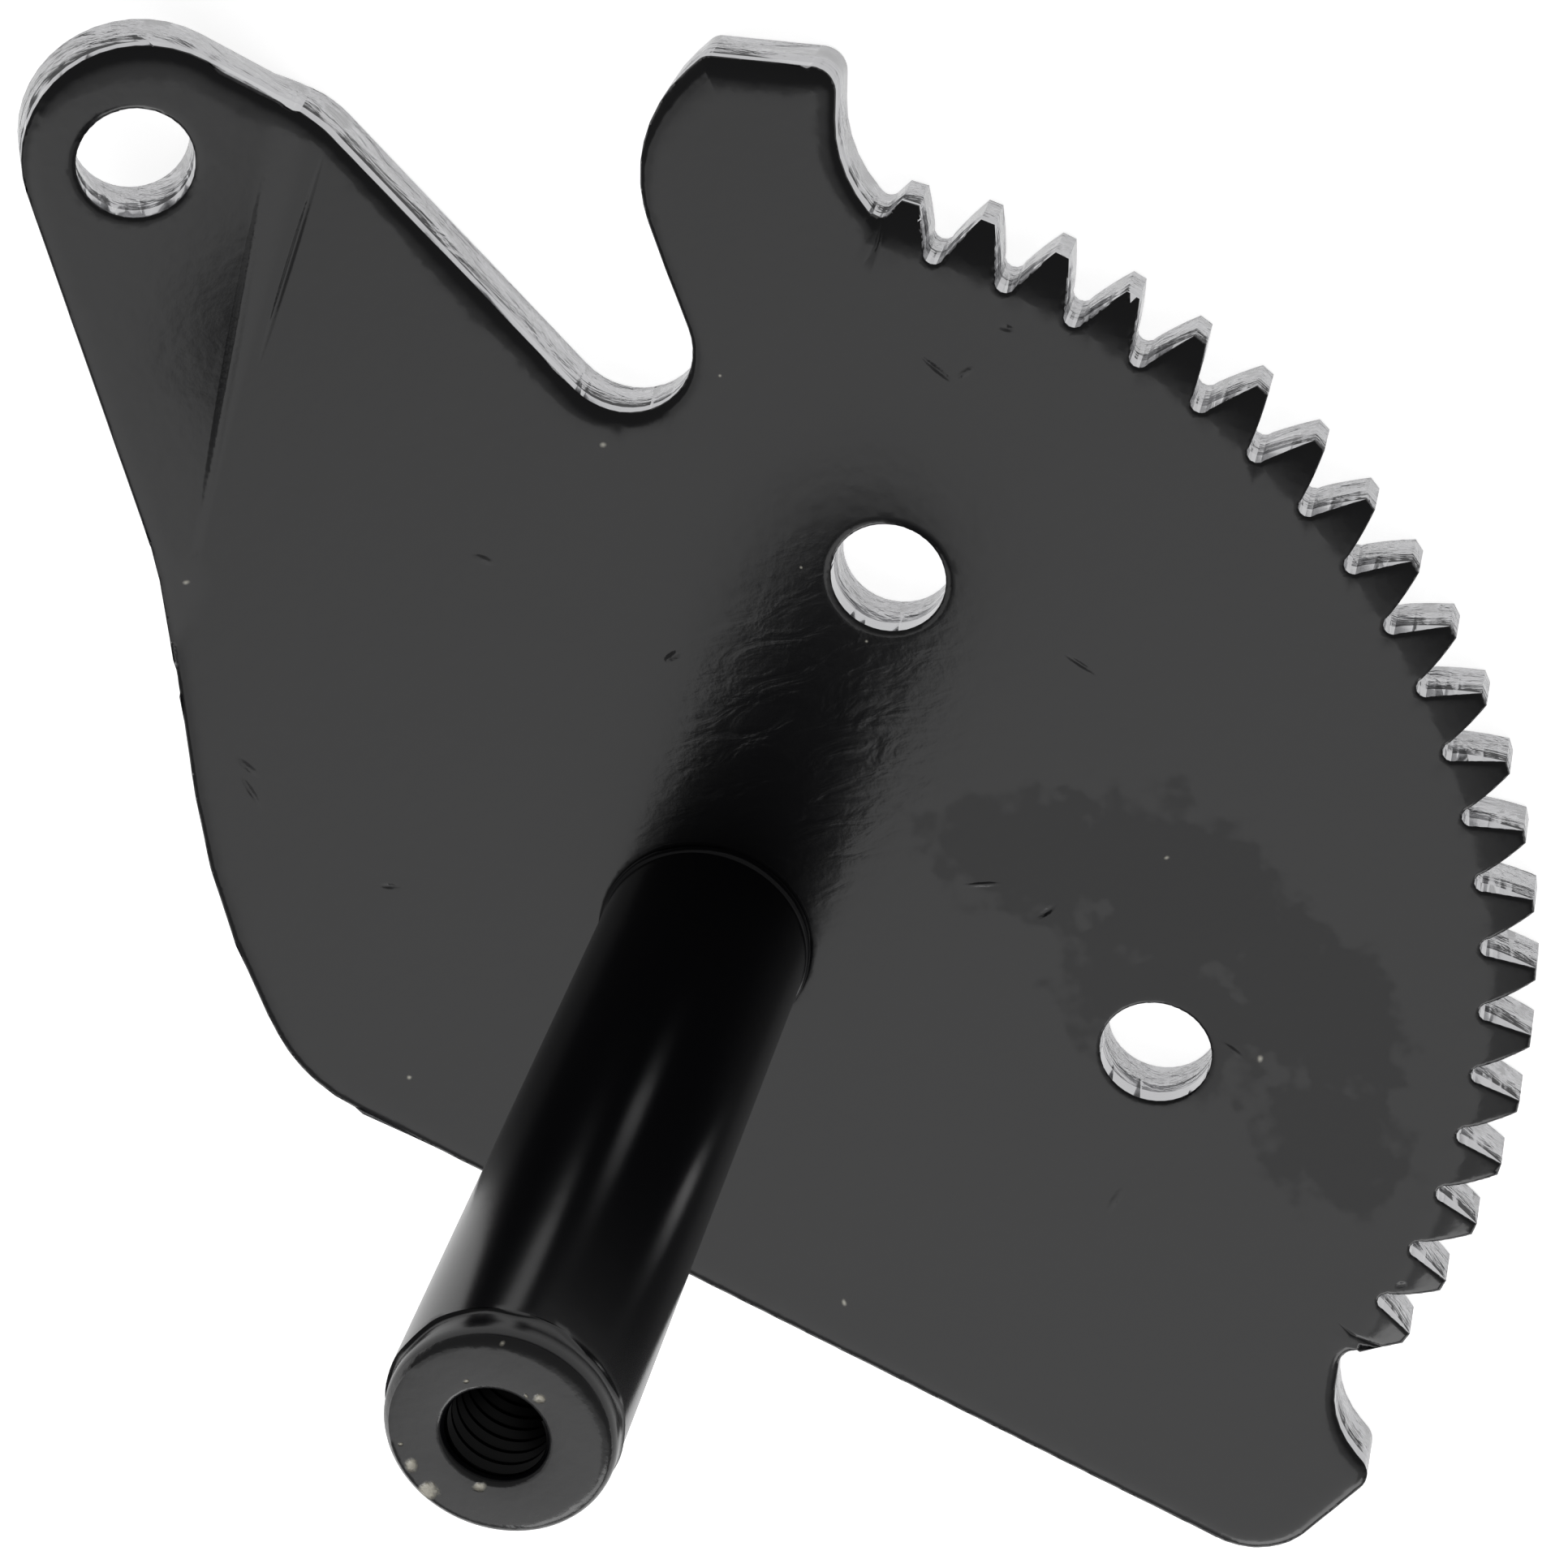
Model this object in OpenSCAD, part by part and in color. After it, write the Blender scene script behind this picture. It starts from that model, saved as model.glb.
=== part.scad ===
// Steering sector gear: a stamped steel plate with a toothed rim, a hooked stop
// and a bent-up drag link ear, fixed on a turned pivot shaft with a tapped end.
// The origin is on the shaft's axis in the plate's back face. The shaft points
// along +Z, and +X runs through the middle tooth.

/* [Plate] */
// Thickness of the steel plate
plate_t = 6.35; // [5:0.05:8]
// Distance from the shaft's axis to the straight left edge
left_edge = 43.6; // [40:0.05:47]
// Diameter of the two bolt holes in the plate
bolt_hole_d = 10.2; // [6:0.1:12]
// Distance of the upper bolt hole from the shaft's axis
upper_hole_r = 41.2; // [36:0.1:46]
// Direction of the upper bolt hole, from the middle tooth
upper_hole_angle = 42.7; // [38:0.1:46]
// Distance of the lower bolt hole from the shaft's axis
lower_hole_r = 42.1; // [36:0.1:46]
// Direction of the lower bolt hole, from the middle tooth
lower_hole_angle = -33.6; // [-38:0.1:-30]

/* [Teeth] */
// Number of teeth cut in the rim
tooth_count = 21; // [15:2:21]
// Angle from one tooth to the next
tooth_pitch = 5.25; // [5:0.01:5.3]
// Radius of the pitch circle
pitch_r = 73; // [72.5:0.1:73.5]
// Height of the teeth above the pitch circle
addendum = 1.85; // [1.4:0.05:2.2]
// Depth below the pitch circle at which a flank runs into the round root
flank_depth = 2; // [1.6:0.05:2.2]
// Pressure angle of the flanks
pressure_angle = 25; // [20:0.5:27]
// Angle taken off each flank for running clearance
flank_relief = 0.12; // [0:0.01:0.3]
// How far the stamping tool drew the tips below the plate's face
tip_drop = 1.6; // [0.4:0.1:2.4]
// How much shorter the tooth beside the hook is
end_tooth_cut = 0.6; // [0:0.1:1]

/* [Hook and tail] */
// Distance of the hook's corner in front of the shaft's axis
hook_corner_x = 44.2; // [43.4:0.1:45]
// Distance of the hook's corner beside the shaft's axis
hook_corner_y = 71.95; // [71:0.05:73]
// Distance of the hook's top in front of the shaft's axis
hook_top_x = 34; // [33:0.1:35]
// Distance of the hook's top beside the shaft's axis
hook_top_y = 76.9; // [76:0.1:78]
// Distance of the tail's tip in front of the shaft's axis
tail_tip_x = 24.5; // [23:0.1:26]
// Distance of the tail's tip beside the shaft's axis
tail_tip_y = 78.6; // [77:0.1:80]
// Distance of the tail's corner in front of the shaft's axis
tail_corner_x = 37.8; // [37:0.1:38.5]
// Distance of the tail's corner beside the shaft's axis
tail_corner_y = 72.15; // [71.5:0.05:73]

/* [Stop notch] */
// Radius of the notch between the ear and the hook
notch_r = 6.25; // [4:0.05:6.6]
// Distance of the notch's centre in front of the shaft's axis
notch_x = 16.6; // [15:0.05:18]
// Distance of the notch's centre beside the shaft's axis
notch_y = 55.6; // [53:0.05:60]
// Direction of the notch's side at the ear
notch_ear_side = 110.1; // [106:0.1:112]
// Direction of the notch's side at the hook
notch_hook_side = 86.5; // [85:0.1:90]
// Radius of the hook's rounded back
hook_r = 13; // [8:0.1:14]

/* [Ear] */
// Distance of the ear's round end behind the shaft's axis, before bending
ear_x = 14.65; // [13:0.05:16]
// Distance of the ear's round end beside the shaft's axis, before bending
ear_y = 86.65; // [85:0.05:89]
// Radius of the ear's round end
ear_r = 10.4; // [9:0.1:11]
// Distance of the drag link hole behind the shaft's axis, before bending
ear_hole_x = 15.4; // [14:0.05:16]
// Distance of the drag link hole beside the shaft's axis, before bending
ear_hole_y = 86.75; // [85:0.05:88]
// Diameter of the drag link hole
ear_hole_d = 10.2; // [6:0.1:12]
// Angle by which the ear is bent towards the shaft's side
ear_bend = 22; // [5:0.5:35]
// Inside radius of the bend
bend_r = 6; // [3:0.5:8]
// Direction of the bend line in the plate
bend_line_angle = 51.9; // [50:0.1:54]

/* [Shaft] */
// Diameter of the pivot shaft
shaft_d = 19.05; // [14:0.05:22]
// Height of the shaft's end above the plate's back face
shaft_end_z = 86.8; // [50:0.1:120]
// Depth of the chamfer round the shaft's end
shaft_chamfer = 0.9; // [0.3:0.1:2]
// Radius by which the seat collar stands out from the shaft
collar_lip = 0.6; // [0.2:0.1:2]
// Height of the seat collar on the plate
collar_h = 1; // [0.5:0.1:3]
// Gap between the shaft and its bore in the plate
shaft_fit = 0.02; // [0.01:0.01:0.1]
// Length of the shallow turned relief at the shaft's end
relief_l = 3.4; // [2:0.1:6]
// Greatest depth of that relief
relief_depth = 0.5; // [0.2:0.05:0.8]
// Side on which the relief is deepest
relief_angle = 140; // [0:5:355]
// Diameter of the drilled hole for the thread
tap_d = 7.95; // [6:0.05:10]
// Depth of the drilled hole to the start of its point
tap_depth = 24; // [12:0.5:40]
// Diameter of the countersink at the hole's mouth
sink_d = 8.7; // [8.2:0.05:11]

/* [Hidden] */
$fn = 96;
cut = 1;
bend_steps = 4;
lap = 0.08;
arc_step = 9;
root_steps = 6;
flank_steps = 4;
point_angle = 59;

// Flanks of the teeth as involutes of the base circle
tip_r = pitch_r + addendum;
flank_foot_r = pitch_r - flank_depth;
base_r = pitch_r * cos(pressure_angle);
function involute(r) =
    let (a = acos(base_r / r)) tan(a) * 180 / PI - a;
function half_tooth(r) =
    tooth_pitch / 4 + involute(pitch_r) - involute(r) - flank_relief;
function polar(r, a) = [r * cos(a), r * sin(a)];
function tooth_angle(i) = (i - (tooth_count - 1) / 2) * tooth_pitch;

// Radii of the points on a flank, from its foot to its tip
function flank_radii(foot, tip) =
    [for (k = [0:flank_steps]) foot + (tip - foot) * k / flank_steps];
function rising_flank(i, foot, tip) =
    [for (r = flank_radii(foot, tip)) polar(r, tooth_angle(i) - half_tooth(r))];
function falling_flank(i, foot, tip) =
    [for (r = flank_radii(tip, foot)) polar(r, tooth_angle(i) + half_tooth(r))];

// Round root between tooth i and the next one, from flank foot to flank foot
root_gap = tooth_pitch / 2 - half_tooth(flank_foot_r);
root_r = flank_foot_r * sin(root_gap);
function root_arc(i) =
    let (mid = tooth_angle(i) + tooth_pitch / 2, c = polar(flank_foot_r * cos(root_gap), mid))
    [for (k = [1:root_steps - 1]) c + polar(root_r, mid - 90 - 180 * k / root_steps)];

// The rim from the last tooth, below, to the first tooth beside the hook
last_tooth = tooth_count - 1;
function tooth(i) = concat(
    i == 0 ? [polar(tip_r, tooth_angle(0) - half_tooth(tip_r))]
        : rising_flank(i, flank_foot_r, tip_r - (i == last_tooth ? end_tooth_cut : 0)),
    i == last_tooth ? [polar(tip_r - end_tooth_cut, tooth_angle(i) + half_tooth(tip_r))]
        : concat(falling_flank(i, flank_foot_r, tip_r), root_arc(i))
);
function rim() = [for (i = [0:last_tooth]) each tooth(i)];

// Corner [x, y, radius] of an outline as the points of its arc
function unit(v) = v / norm(v);
function rounded(p, q, s) =
    let (
        u = unit([p.x - q.x, p.y - q.y]),
        v = unit([s.x - q.x, s.y - q.y]),
        half = acos(u * v) / 2,
        c = [q.x, q.y] + unit(u + v) * q.z / sin(half),
        turn = 180 - 2 * half,
        side = sign(u.x * v.y - u.y * v.x),
        from = atan2(q.y + u.y * q.z / tan(half) - c.y, q.x + u.x * q.z / tan(half) - c.x),
        steps = max(1, ceil(turn / arc_step))
    )
    [for (k = [0:steps]) c + polar(q.z, from - side * turn * k / steps)];

// The plate's outline from the first tooth round the hook, the ear and the back
function wedge_tip(c, r, a, b) = c + polar(r / sin((a - b) / 2), (a + b) / 2);
notch_tip = wedge_tip([notch_x, notch_y], -notch_r, notch_ear_side, notch_hook_side);
ear_c = [-ear_x, ear_y];
ear_front_side = 121.8;
ear_back_side = 79.2;
ear_tip = wedge_tip(ear_c, ear_r, ear_front_side, ear_back_side);
corners = [
    [42.3, 58.3, 0.95],
    [40.5, 63.9, 11.5],
    [hook_corner_x, hook_corner_y, 2.1],
    [hook_top_x, hook_top_y, 1.5],
    [24.1, 73.25, hook_r],
    [23.4, 63, 8],
    [notch_tip.x, notch_tip.y, notch_r],
    [0.25, 82.3, 9],
    [ear_tip.x, ear_tip.y, ear_r],
    [-32.05, 51, 25],
    [-left_edge, 17.5, 70],
    [-left_edge, -2.1, 14.6],
    [tail_tip_x, -tail_tip_y, 7],
    [tail_corner_x, -tail_corner_y, 2.4],
    [35.85, -65.4, 10],
    [39.7, -58.1, 1.8]
];
function outline() =
    let (teeth = rim(), last = len(corners) - 1, first = teeth[0], end = teeth[len(teeth) - 1])
    concat(teeth, [for (k = [0:last]) each rounded(
        k == 0 ? end : corners[k - 1], corners[k], k == last ? first : corners[k + 1])]);

// Frame of the bend: X along the bend line, Y towards the ear
bend_x = -5;
bend_y = 80.25;
bend_half = bend_r * tan(ear_bend / 2);
bend_along = polar(1, bend_line_angle);
bend_across = polar(1, bend_line_angle + 90);
function in_bend(p) = [(p - [bend_x, bend_y]) * bend_along, (p - [bend_x, bend_y]) * bend_across];
blank = [for (p = outline()) in_bend(p)];

module bend_frame() {
    translate([bend_x, bend_y, 0]) rotate([0, 0, bend_line_angle]) children();
}

// Where the blank's two long sides cross the line y, and the blank on one side of it
function crossing(y) = [
    for (k = [0:len(blank) - 1])
        let (p = blank[k], q = blank[(k + 1) % len(blank)])
        if ((p.y - y) * (q.y - y) < 0) p.x + (q.x - p.x) * (y - p.y) / (q.y - p.y)
];
function piece(y, side) = [
    for (k = [0:len(blank) - 1])
        let (p = blank[k], q = blank[(k + 1) % len(blank)])
        each concat(
            (p.y - y) * side >= 0 ? [p] : [],
            (p.y - y) * (q.y - y) < 0
                ? [[p.x + (q.x - p.x) * (y - p.y) / (q.y - p.y), y]]
                : []
        )
];

// Sheet beyond y = bend_half in the bend frame, swung up round the bend
module swung() {
    translate([0, -bend_half, plate_t + bend_r])
        rotate([ear_bend, 0, 0])
            translate([0, -bend_half, -plate_t - bend_r])
                children();
}

// Curved sheet between the flat plate and the ear
function bend_point(k, x, z) =
    let (a = ear_bend * k / bend_steps, r = plate_t + bend_r - z)
    [x, r * sin(a) - bend_half, plate_t + bend_r - r * cos(a)];
function bend_section(k) =
    let (
        x = crossing(-bend_half + 2 * bend_half * k / bend_steps),
        inset = k == bend_steps ? lap / 8 : 0
    )
    [
        bend_point(k, min(x) + inset, inset),
        bend_point(k, max(x) - inset, inset),
        bend_point(k, max(x) - inset, plate_t - inset),
        bend_point(k, min(x) + inset, plate_t - inset)
    ];

module bend_zone() {
    polyhedron(
        points = [for (k = [0:bend_steps]) each bend_section(k)],
        faces = concat(
            [[3, 2, 1, 0]],
            [for (k = [0:bend_steps - 1], e = [0:3])
                let (a = 4 * k + e, b = 4 * k + (e + 1) % 4)
                each [[a, b + 4, a + 4], [a, b, b + 4]]],
            [[for (e = [0:3]) 4 * bend_steps + e]]
        )
    );
}

module flat_part() {
    linear_extrude(plate_t) polygon(piece(-bend_half, -1));
}

module ear_part() {
    swung() linear_extrude(plate_t) polygon(piece(bend_half - lap, 1));
}

module ear_hole() {
    c = in_bend([-ear_hole_x, ear_hole_y]);
    swung()
        translate([c.x, c.y, -cut])
            cylinder(d = ear_hole_d, h = plate_t + 2 * cut);
}

// Sloping face that the stamping tool left on the teeth
module tooth_slope() {
    reach = last_tooth * tooth_pitch / 2 + tooth_pitch / 4;
    foot = flank_foot_r - root_r;
    slope = tip_drop / (tip_r - foot);
    rotate([0, 0, -reach])
        rotate_extrude(angle = 2 * reach)
            polygon([
                [foot, plate_t],
                [tip_r + cut, plate_t - slope * (tip_r + cut - foot)],
                [tip_r + cut, plate_t + cut],
                [foot, plate_t + cut]
            ]);
}

module bolt_hole(r, a) {
    rotate([0, 0, a]) translate([r, 0, -cut]) cylinder(d = bolt_hole_d, h = plate_t + 2 * cut);
}

module sector_plate() {
    color([0.16, 0.16, 0.17])
        difference() {
            bend_frame() {
                flat_part();
                bend_zone();
                ear_part();
            }
            bend_frame() ear_hole();
            tooth_slope();
            bolt_hole(upper_hole_r, upper_hole_angle);
            bolt_hole(lower_hole_r, lower_hole_angle);
            translate([0, 0, -cut])
                cylinder(d = shaft_d + 2 * shaft_fit, h = plate_t + 2 * cut);
        }
}

// Shallow eccentric step that the lathe left on one side of the shaft's end
module end_relief() {
    shift = relief_depth * 0.4;
    relief_r = shaft_d / 2 - relief_depth + shift;
    translate([0, 0, shaft_end_z - relief_l])
        difference() {
            cylinder(d = shaft_d + 2 * cut, h = relief_l + cut);
            rotate([0, 0, relief_angle])
                translate([-shift, 0, -cut])
                    cylinder(r = relief_r, h = relief_l + 3 * cut);
        }
}

module tapped_hole() {
    sink = (sink_d - tap_d) / 2;
    tap_r = tap_d / 2;
    rotate_extrude()
        polygon([
            [0, shaft_end_z + cut],
            [0, shaft_end_z - tap_depth - tap_r / tan(point_angle)],
            [tap_r, shaft_end_z - tap_depth],
            [tap_r, shaft_end_z - sink],
            [tap_r + sink + cut, shaft_end_z + cut]
        ]);
}

module pivot_shaft() {
    shaft_r = shaft_d / 2;
    color([0.08, 0.08, 0.09])
        difference() {
            rotate_extrude()
                polygon([
                    [0, 0],
                    [shaft_r, 0],
                    [shaft_r, plate_t],
                    [shaft_r + collar_lip, plate_t],
                    [shaft_r + collar_lip, plate_t + collar_h / 2],
                    [shaft_r, plate_t + collar_h],
                    [shaft_r, shaft_end_z - shaft_chamfer],
                    [shaft_r - shaft_chamfer, shaft_end_z],
                    [0, shaft_end_z]
                ]);
            end_relief();
            tapped_hole();
        }
}

sector_plate();
pivot_shaft();
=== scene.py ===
import math

import bmesh
import bpy
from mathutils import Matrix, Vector
from mathutils.bvhtree import BVHTree
from mathutils.geometry import area_tri, delaunay_2d_cdt
from mathutils.kdtree import KDTree


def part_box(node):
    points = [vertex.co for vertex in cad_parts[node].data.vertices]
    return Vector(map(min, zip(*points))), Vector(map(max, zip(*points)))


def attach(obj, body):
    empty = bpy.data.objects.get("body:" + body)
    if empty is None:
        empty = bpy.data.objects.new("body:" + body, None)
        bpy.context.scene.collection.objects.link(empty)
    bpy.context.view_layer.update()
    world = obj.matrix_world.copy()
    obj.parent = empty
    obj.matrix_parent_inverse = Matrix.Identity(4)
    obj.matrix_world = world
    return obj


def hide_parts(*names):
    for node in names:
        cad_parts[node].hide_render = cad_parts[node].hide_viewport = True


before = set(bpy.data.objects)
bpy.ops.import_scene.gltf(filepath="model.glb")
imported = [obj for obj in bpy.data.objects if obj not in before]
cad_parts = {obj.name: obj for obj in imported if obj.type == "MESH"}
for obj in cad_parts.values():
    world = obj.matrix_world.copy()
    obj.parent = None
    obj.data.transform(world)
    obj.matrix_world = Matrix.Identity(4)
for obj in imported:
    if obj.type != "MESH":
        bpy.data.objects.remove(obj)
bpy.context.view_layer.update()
mm = 0.001


# helpers
def clearSelection():
    if bpy.context.object and bpy.context.object.mode != "OBJECT":
        bpy.ops.object.mode_set(mode="OBJECT")
    bpy.ops.object.select_all(action="DESELECT")


def makeActive(obj):
    clearSelection()
    obj.select_set(True)
    bpy.context.view_layer.objects.active = obj


def editAll(obj):
    makeActive(obj)
    bpy.ops.object.mode_set(mode="EDIT")
    bpy.ops.mesh.select_all(action="SELECT")


def copyOfNode(node, name):
    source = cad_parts[node]
    mesh = source.data.copy()
    mesh.transform(source.matrix_world)
    mesh.materials.clear()
    obj = bpy.data.objects.new(name, mesh)
    bpy.context.collection.objects.link(obj)
    editAll(obj)
    bpy.ops.mesh.remove_doubles(threshold=1e-6)  # a CAD mesh comes as loose triangles
    bpy.ops.object.mode_set(mode="OBJECT")
    return obj


def smooth(obj, degrees):
    makeActive(obj)
    bpy.ops.object.shade_smooth_by_angle(angle=math.radians(degrees))


def towards(azimuth, elevation):
    a, e = math.radians(azimuth), math.radians(elevation)
    return Vector((math.cos(e) * math.cos(a), math.cos(e) * math.sin(a), math.sin(e)))


def addNode(tree, kind, inputs=None, **settings):
    node = tree.nodes.new("ShaderNode" + kind)
    for name, value in settings.items():
        setattr(node, name, value)
    for socket, value in (inputs or {}).items():
        node.inputs[socket].default_value = value
    return node


def linker(tree):
    def link(fromNode, out, toNode, inp):
        tree.links.new(fromNode.outputs[out], toNode.inputs[inp])
    return link


# camera at the photograph's place, in mm and degrees
camera = {
    "place": (164.27, 169.21, 397.26),
    "turn": (-27.152, 10.891, -23.671),
    "lens": 115.0,
    "sensor": 36,
    "clipStart": 0.01,
}
clearSelection()
bpy.ops.object.camera_add(
    location=[c * mm for c in camera["place"]],
    rotation=[math.radians(a) for a in camera["turn"]])
cam = bpy.context.object
cam.name = "photoCamera"
cam.data.lens = camera["lens"]
cam.data.sensor_width = camera["sensor"]
cam.data.clip_start = camera["clipStart"]
bpy.context.scene.camera = cam
print("camera set")


# white floor, in metres; its own light reaches the camera and mirrors, never the object's diffuse paint
floor = {"size": 12.0, "below": 0.0002, "paper": 0.85, "white": 0.86, "inGloss": 1.0}


def paperMaterial():
    mat = bpy.data.materials.new("floorPaper")
    mat.use_nodes = True
    tree = mat.node_tree
    tree.nodes.clear()
    link = linker(tree)
    out = addNode(tree, "OutputMaterial")
    paper = addNode(tree, "BsdfDiffuse", {"Color": (floor["paper"], floor["paper"], floor["paper"], 1)})
    seen = addNode(tree, "Emission", {"Strength": floor["white"]})
    mirrored = addNode(tree, "Emission", {"Strength": floor["inGloss"]})
    path = addNode(tree, "LightPath")
    anyMirror = addNode(tree, "Math", operation="MAXIMUM")
    inMirrors = addNode(tree, "MixShader")
    shadowed = addNode(tree, "AddShader")  # the lit paper on top keeps the object's shadow
    toCamera = addNode(tree, "MixShader")
    link(path, "Is Glossy Ray", anyMirror, 0)
    link(path, "Is Transmission Ray", anyMirror, 1)
    link(anyMirror, 0, inMirrors, 0)
    link(paper, 0, inMirrors, 1)
    link(mirrored, 0, inMirrors, 2)
    link(seen, 0, shadowed, 0)
    link(paper, 0, shadowed, 1)
    link(path, "Is Camera Ray", toCamera, 0)
    link(inMirrors, 0, toCamera, 1)
    link(shadowed, 0, toCamera, 2)
    link(toCamera, 0, out, "Surface")
    return mat


bpy.ops.mesh.primitive_plane_add(size=floor["size"], location=(0, 0, -floor["below"]))
floorPlane = bpy.context.object
floorPlane.name = "floor"
floorPlane.data.materials.append(paperMaterial())

# a dim room with one soft bright side, which the face and the lower teeth mirror
room = {"base": 0.15, "azimuth": 260, "elevation": 50, "extra": 0.5, "full": 8, "none": 50}
world = bpy.data.worlds.new("studio")
bpy.context.scene.world = world
world.use_nodes = True
link = linker(world.node_tree)
sky = world.node_tree.nodes["Background"]
sky.inputs["Color"].default_value = (1, 1, 1, 1)
ray = addNode(world.node_tree, "TexCoord")
facing = addNode(world.node_tree, "VectorMath", {1: towards(room["azimuth"], room["elevation"])},
                 operation="DOT_PRODUCT")
glow = addNode(world.node_tree, "MapRange", {
    "From Min": math.cos(math.radians(room["none"])), "From Max": math.cos(math.radians(room["full"])),
    "To Min": room["base"], "To Max": room["base"] + room["extra"]}, interpolation_type="SMOOTHSTEP")
link(ray, "Generated", facing, 0)
link(facing, "Value", glow, "Value")
link(glow, 0, sky, "Strength")

# soft boxes: azimuth, elevation, distance and size in metres, power in watts
lamps = {
    "backBox": (216, 52, 1.6, (2.6, 1.5), 7.4),
    "lowBox": (262, 22, 2.0, (1.6, 0.7), 7),
}
for name, (azimuth, elevation, distance, size, power) in lamps.items():
    place = towards(azimuth, elevation) * distance
    bpy.ops.object.light_add(type="AREA", location=place)
    lamp = bpy.context.object
    lamp.name = name
    lamp.data.shape = "RECTANGLE"
    lamp.data.size, lamp.data.size_y = size
    lamp.data.energy = power
    lamp.rotation_euler = (-place).to_track_quat("-Z", "Y").to_euler()
print("stage and lights set")


# node groups
def newGroup(name, inputs, outputs):
    group = bpy.data.node_groups.new(name, "ShaderNodeTree")
    for label, kind, default in inputs:
        socket = group.interface.new_socket(label, in_out="INPUT", socket_type=kind)
        if default is not None:
            socket.default_value = default
    for label, kind in outputs:
        group.interface.new_socket(label, in_out="OUTPUT", socket_type=kind)
    return group, group.nodes.new("NodeGroupInput"), group.nodes.new("NodeGroupOutput")


# one soft spot: 1 at its middle, 0 outside its ellipse
def softSpotGroup():
    group, start, end = newGroup(
        "softSpot",
        [("Vector", "NodeSocketVector", None), ("Place", "NodeSocketVector", (0, 0, 0)),
         ("Turn", "NodeSocketVector", (0, 0, 0)), ("Size", "NodeSocketVector", (1, 1, 1)),
         ("Rag", "NodeSocketFloat", 0.25), ("Grain", "NodeSocketFloat", 0.0)],
        [("Mask", "NodeSocketFloat")])
    link = linker(group)
    shift = addNode(group, "VectorMath", operation="SUBTRACT")
    turn = addNode(group, "VectorRotate", rotation_type="EULER_XYZ", invert=True)
    size = addNode(group, "VectorMath", operation="DIVIDE")
    length = addNode(group, "VectorMath", operation="LENGTH")
    ragged = addNode(group, "Math", operation="MULTIPLY")
    total = addNode(group, "Math", operation="ADD")
    ramp = addNode(group, "MapRange", {"From Min": 1.0, "From Max": 0.0}, interpolation_type="SMOOTHSTEP")
    link(start, "Vector", shift, 0)
    link(start, "Place", shift, 1)
    link(shift, 0, turn, "Vector")
    link(start, "Turn", turn, "Rotation")
    link(turn, 0, size, 0)
    link(start, "Size", size, 1)
    link(size, 0, length, 0)
    link(start, "Grain", ragged, 0)
    link(start, "Rag", ragged, 1)
    link(length, "Value", total, 0)
    link(ragged, 0, total, 1)
    link(total, 0, ramp, "Value")
    link(ramp, 0, end, "Mask")
    return group


# wavy skin of a dipped or sprayed enamel
def orangePeelGroup():
    group, start, end = newGroup(
        "orangePeel",
        [("Vector", "NodeSocketVector", None), ("Fine", "NodeSocketFloat", 0.25),
         ("Broad", "NodeSocketFloat", 1.0)],
        [("Height", "NodeSocketFloat")])
    link = linker(group)
    fine = addNode(group, "TexNoise", {"Scale": 900, "Detail": 3})
    broad = addNode(group, "TexNoise", {"Scale": 110, "Detail": 2})
    fineScaled = addNode(group, "Math", operation="MULTIPLY")
    broadScaled = addNode(group, "Math", operation="MULTIPLY")
    both = addNode(group, "Math", operation="ADD")
    link(start, "Vector", fine, "Vector")
    link(start, "Vector", broad, "Vector")
    link(fine, 0, fineScaled, 0)
    link(start, "Fine", fineScaled, 1)
    link(broad, 0, broadScaled, 0)
    link(start, "Broad", broadScaled, 1)
    link(fineScaled, 0, both, 0)
    link(broadScaled, 0, both, 1)
    link(both, 0, end, "Height")
    return group


spotGroup = softSpotGroup()
peelGroup = orangePeelGroup()
spotDepth = 3.0  # reach of a spot through the surface
paintGrain = 1800


# sum of the masks of marks: each is x, y, z, angle, half length, half width, strength, rag
def spots(tree, coords, marks, grain=paintGrain):
    link = linker(tree)
    noise = addNode(tree, "TexNoise", {"Scale": grain, "Detail": 2})
    centred = addNode(tree, "Math", {1: 0.5}, operation="SUBTRACT")
    link(coords, "Object", noise, "Vector")
    link(noise, 0, centred, 0)
    last = None
    for x, y, z, angle, halfLength, halfWidth, strength, rag in marks:
        spot = addNode(tree, "Group", node_tree=spotGroup)
        spot.inputs["Place"].default_value = (x * mm, y * mm, z * mm)
        spot.inputs["Turn"].default_value = (0, 0, math.radians(angle))
        spot.inputs["Size"].default_value = (halfLength * mm, halfWidth * mm, spotDepth * mm)
        spot.inputs["Rag"].default_value = rag
        link(coords, "Object", spot, "Vector")
        link(centred, 0, spot, "Grain")
        scaled = addNode(tree, "Math", {1: strength}, operation="MULTIPLY")
        link(spot, 0, scaled, 0)
        if last is not None:
            both = addNode(tree, "Math", operation="ADD")
            link(last, 0, both, 0)
            link(scaled, 0, both, 1)
            scaled = both
        last = scaled
    return last


# materials
def enamel(name, look):
    mat = bpy.data.materials.new(name)
    mat.use_nodes = True
    tree = mat.node_tree
    shader = tree.nodes["Principled BSDF"]
    shader.inputs["Base Color"].default_value = (*look["colour"], 1)
    shader.inputs["Roughness"].default_value = look["rough"]
    shader.inputs["Specular IOR Level"].default_value = look.get("specular", 0.5)
    return mat, tree, shader, addNode(tree, "TexCoord")


def addBump(tree, shader, height, depth, before=None):
    bump = addNode(tree, "Bump", {"Strength": 1.0, "Distance": depth})
    link = linker(tree)
    link(height, 0, bump, "Height")
    if before is not None:
        link(before, 0, bump, "Normal")
    link(bump, 0, shader, "Normal")
    return bump


def peel(tree, coords, amounts):
    node = addNode(tree, "Group", node_tree=peelGroup)
    node.inputs["Fine"].default_value, node.inputs["Broad"].default_value = amounts
    linker(tree)(coords, "Object", node, "Vector")
    return node


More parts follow.
